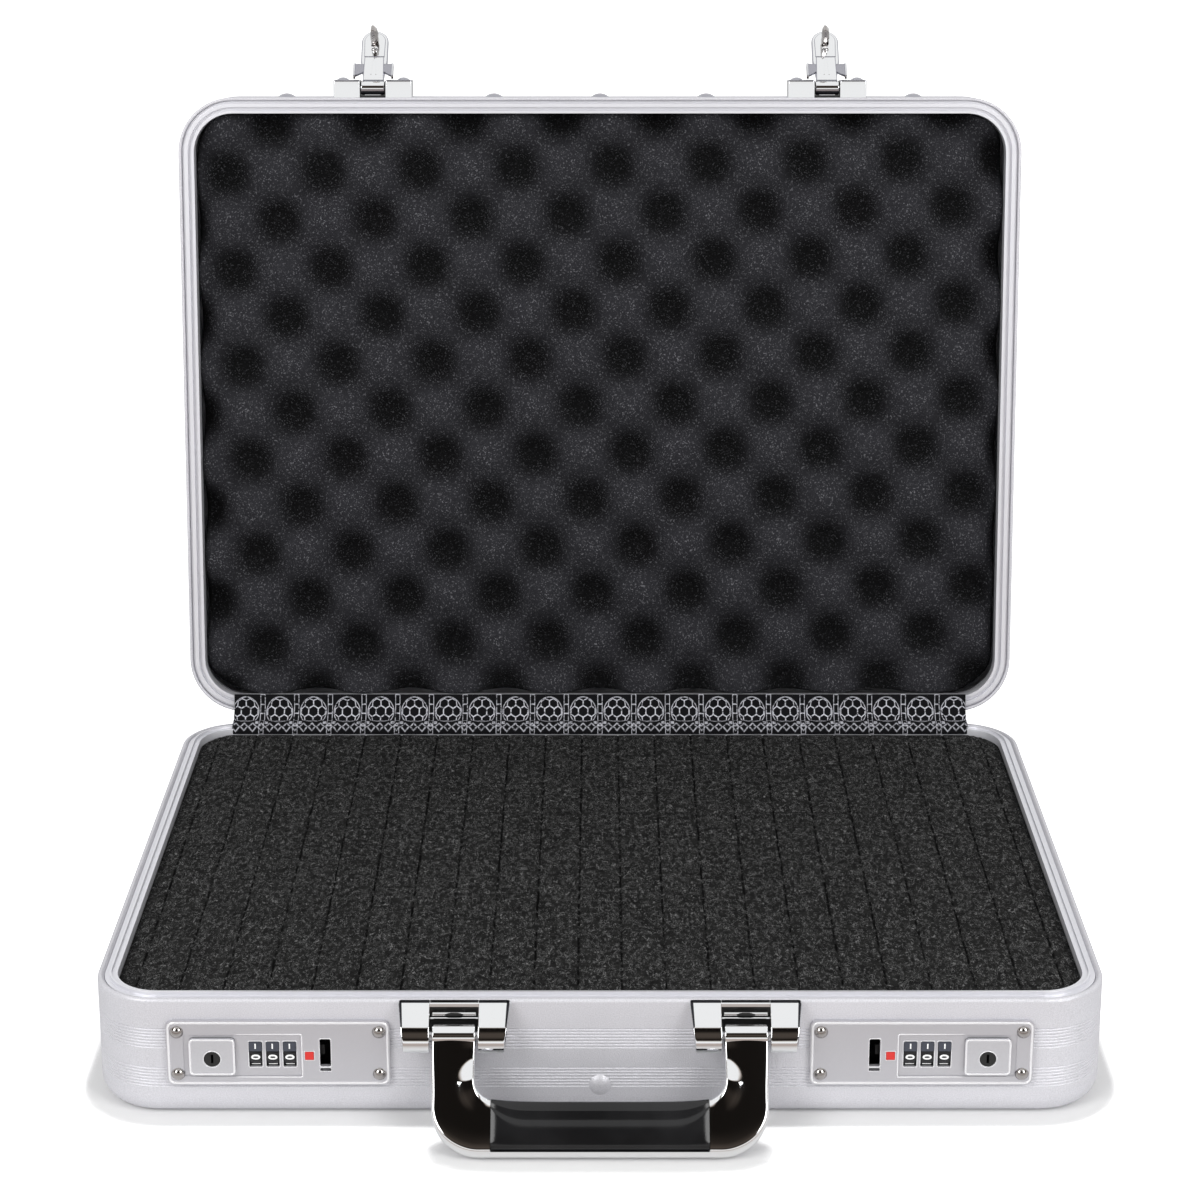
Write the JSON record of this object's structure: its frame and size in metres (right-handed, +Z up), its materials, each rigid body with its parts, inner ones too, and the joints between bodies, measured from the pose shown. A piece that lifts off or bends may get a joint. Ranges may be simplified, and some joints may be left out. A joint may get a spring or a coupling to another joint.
{
  "type": "laptop hard case",
  "caption": "Aluminium attache case with a hinged lid, two dial latches, a folding carrying handle and foam lining.",
  "frame": {"origin": "centre of the underside of the base, on the surface it rests on", "axes": "+Z up, -Y towards the handle and locks, +X to the right seen from the front; the lid is open"},
  "size_m": [0.43, 0.4466, 0.4096],
  "materials": {
    "shell": "satin blasted with fine grooves",
    "rim": "satin",
    "foam": "open-cell foam",
    "chrome": "polished",
    "steel": "satin",
    "lock_zinc": "satin silver",
    "cloth": "black printed cloth with a light grey hexagon net",
    "grip": "semi-gloss black",
    "dial": "gloss black with white numerals",
    "red": "gloss"
  },
  "bodies": {
    "base": {"base_side_band": "shell", "base_bottom_panel": "shell", "base_rim_frame": "rim", "base_foam_block": "foam", "base_front_rivet": "chrome", "hinge_leaf_base": "steel", "hinge_pin": "steel", "hinge_rivets_base": "steel", "hinge_cover_strip": "cloth", "handle_bracket_left": "chrome", "handle_bracket_right": "chrome", "handle_pin_left": "steel", "handle_pin_right": "steel", "lock_plate_left": "lock_zinc", "lock_plate_right": "lock_zinc", "lock_case_left": "steel", "lock_case_right": "steel", "lock_rivets_left": "chrome", "lock_rivets_right": "chrome", "dial_axle_left": "steel", "dial_axle_right": "steel", "dial_index_left": "dial", "dial_index_right": "dial", "search_indicator_left": "red", "search_indicator_right": "red", "button_spring_left": "steel", "button_spring_right": "steel"},
    "lid": {"lid_side_band": "shell", "lid_top_panel": "shell", "lid_rim_frame": "rim", "lid_foam_eggcrate": "foam", "lid_front_rivets": "chrome", "hinge_leaf_lid": "steel", "hinge_rivets_lid": "steel", "hasp_bracket_left": "chrome", "hasp_bracket_right": "chrome", "hasp_screws_left": "chrome", "hasp_screws_right": "chrome", "hasp_pin_left": "steel", "hasp_pin_right": "steel", "hasp_spring_left": "steel", "hasp_spring_right": "steel"},
    "hasp_left": {"hasp_left": "chrome"},
    "hasp_right": {"hasp_right": "chrome"},
    "handle": {"handle_frame": "chrome", "handle_grip": "grip"},
    "release_button_left": {"release_button_left": "lock_zinc"},
    "release_button_right": {"release_button_right": "lock_zinc"},
    "key_cylinder_left": {"key_cylinder_left": "lock_zinc"},
    "key_cylinder_right": {"key_cylinder_right": "lock_zinc"},
    "dial_wheel_left_1": {"dial_wheel_left_1": "dial"},
    "dial_wheel_left_2": {"dial_wheel_left_2": "dial"},
    "dial_wheel_left_3": {"dial_wheel_left_3": "dial"},
    "dial_wheel_right_1": {"dial_wheel_right_1": "dial"},
    "dial_wheel_right_2": {"dial_wheel_right_2": "dial"},
    "dial_wheel_right_3": {"dial_wheel_right_3": "dial"}
  },
  "joints": [
    {"name": "lid_hinge", "type": "hinge", "parent": "base", "child": "lid", "pos_m": [0, 0.164, 0.05525], "axis": [1, 0, 0], "range_deg": [0, 97.5], "deforming": ["hinge_cover_strip"]},
    {"name": "hasp_left_swing", "type": "hinge", "parent": "lid", "child": "hasp_left", "pos_m": [-0.1156, 0.2116, 0.38042], "axis": [1, 0, 0], "range_deg": [0, 130], "stiffness_Nm_per_rad": 0.01, "springref_deg": -34.38},
    {"name": "hasp_right_swing", "type": "hinge", "parent": "lid", "child": "hasp_right", "pos_m": [0.1156, 0.2116, 0.38042], "axis": [1, 0, 0], "range_deg": [0, 130], "stiffness_Nm_per_rad": 0.01, "springref_deg": -34.38},
    {"name": "handle_swing", "type": "hinge", "parent": "base", "child": "handle", "pos_m": [0, -0.168, 0.0423], "axis": [-1, 0, 0], "range_deg": [-34, 62]},
    {"name": "release_left_slide", "type": "slide", "parent": "base", "child": "release_button_left", "axis": [-1, 0, 0], "range_m": [0, 0.0022], "stiffness_N_per_m": 600, "springref_m": -0.002, "deforming": ["button_spring_left"]},
    {"name": "key_left_turn", "type": "hinge", "parent": "release_button_left", "child": "key_cylinder_left", "pos_m": [-0.1632, -0.16, 0.0289], "axis": [0, 1, 0], "range_deg": [0, 90]},
    {"name": "release_right_slide", "type": "slide", "parent": "base", "child": "release_button_right", "axis": [1, 0, 0], "range_m": [0, 0.0022], "stiffness_N_per_m": 600, "springref_m": -0.002, "deforming": ["button_spring_right"]},
    {"name": "key_right_turn", "type": "hinge", "parent": "release_button_right", "child": "key_cylinder_right", "pos_m": [0.1632, -0.16, 0.0289], "axis": [0, 1, 0], "range_deg": [0, 90]},
    {"name": "dial_wheel_left_1_spin", "type": "hinge", "parent": "base", "child": "dial_wheel_left_1", "pos_m": [-0.145, -0.1554, 0.0291], "axis": [1, 0, 0], "continuous": true},
    {"name": "dial_wheel_right_1_spin", "type": "hinge", "parent": "base", "child": "dial_wheel_right_1", "pos_m": [0.145, -0.1554, 0.0291], "axis": [1, 0, 0], "continuous": true},
    {"name": "dial_wheel_left_2_spin", "type": "hinge", "parent": "base", "child": "dial_wheel_left_2", "pos_m": [-0.1378, -0.1554, 0.0291], "axis": [1, 0, 0], "continuous": true},
    {"name": "dial_wheel_right_2_spin", "type": "hinge", "parent": "base", "child": "dial_wheel_right_2", "pos_m": [0.1378, -0.1554, 0.0291], "axis": [1, 0, 0], "continuous": true},
    {"name": "dial_wheel_left_3_spin", "type": "hinge", "parent": "base", "child": "dial_wheel_left_3", "pos_m": [-0.1306, -0.1554, 0.0291], "axis": [1, 0, 0], "continuous": true},
    {"name": "dial_wheel_right_3_spin", "type": "hinge", "parent": "base", "child": "dial_wheel_right_3", "pos_m": [0.1306, -0.1554, 0.0291], "axis": [1, 0, 0], "continuous": true}
  ]
}
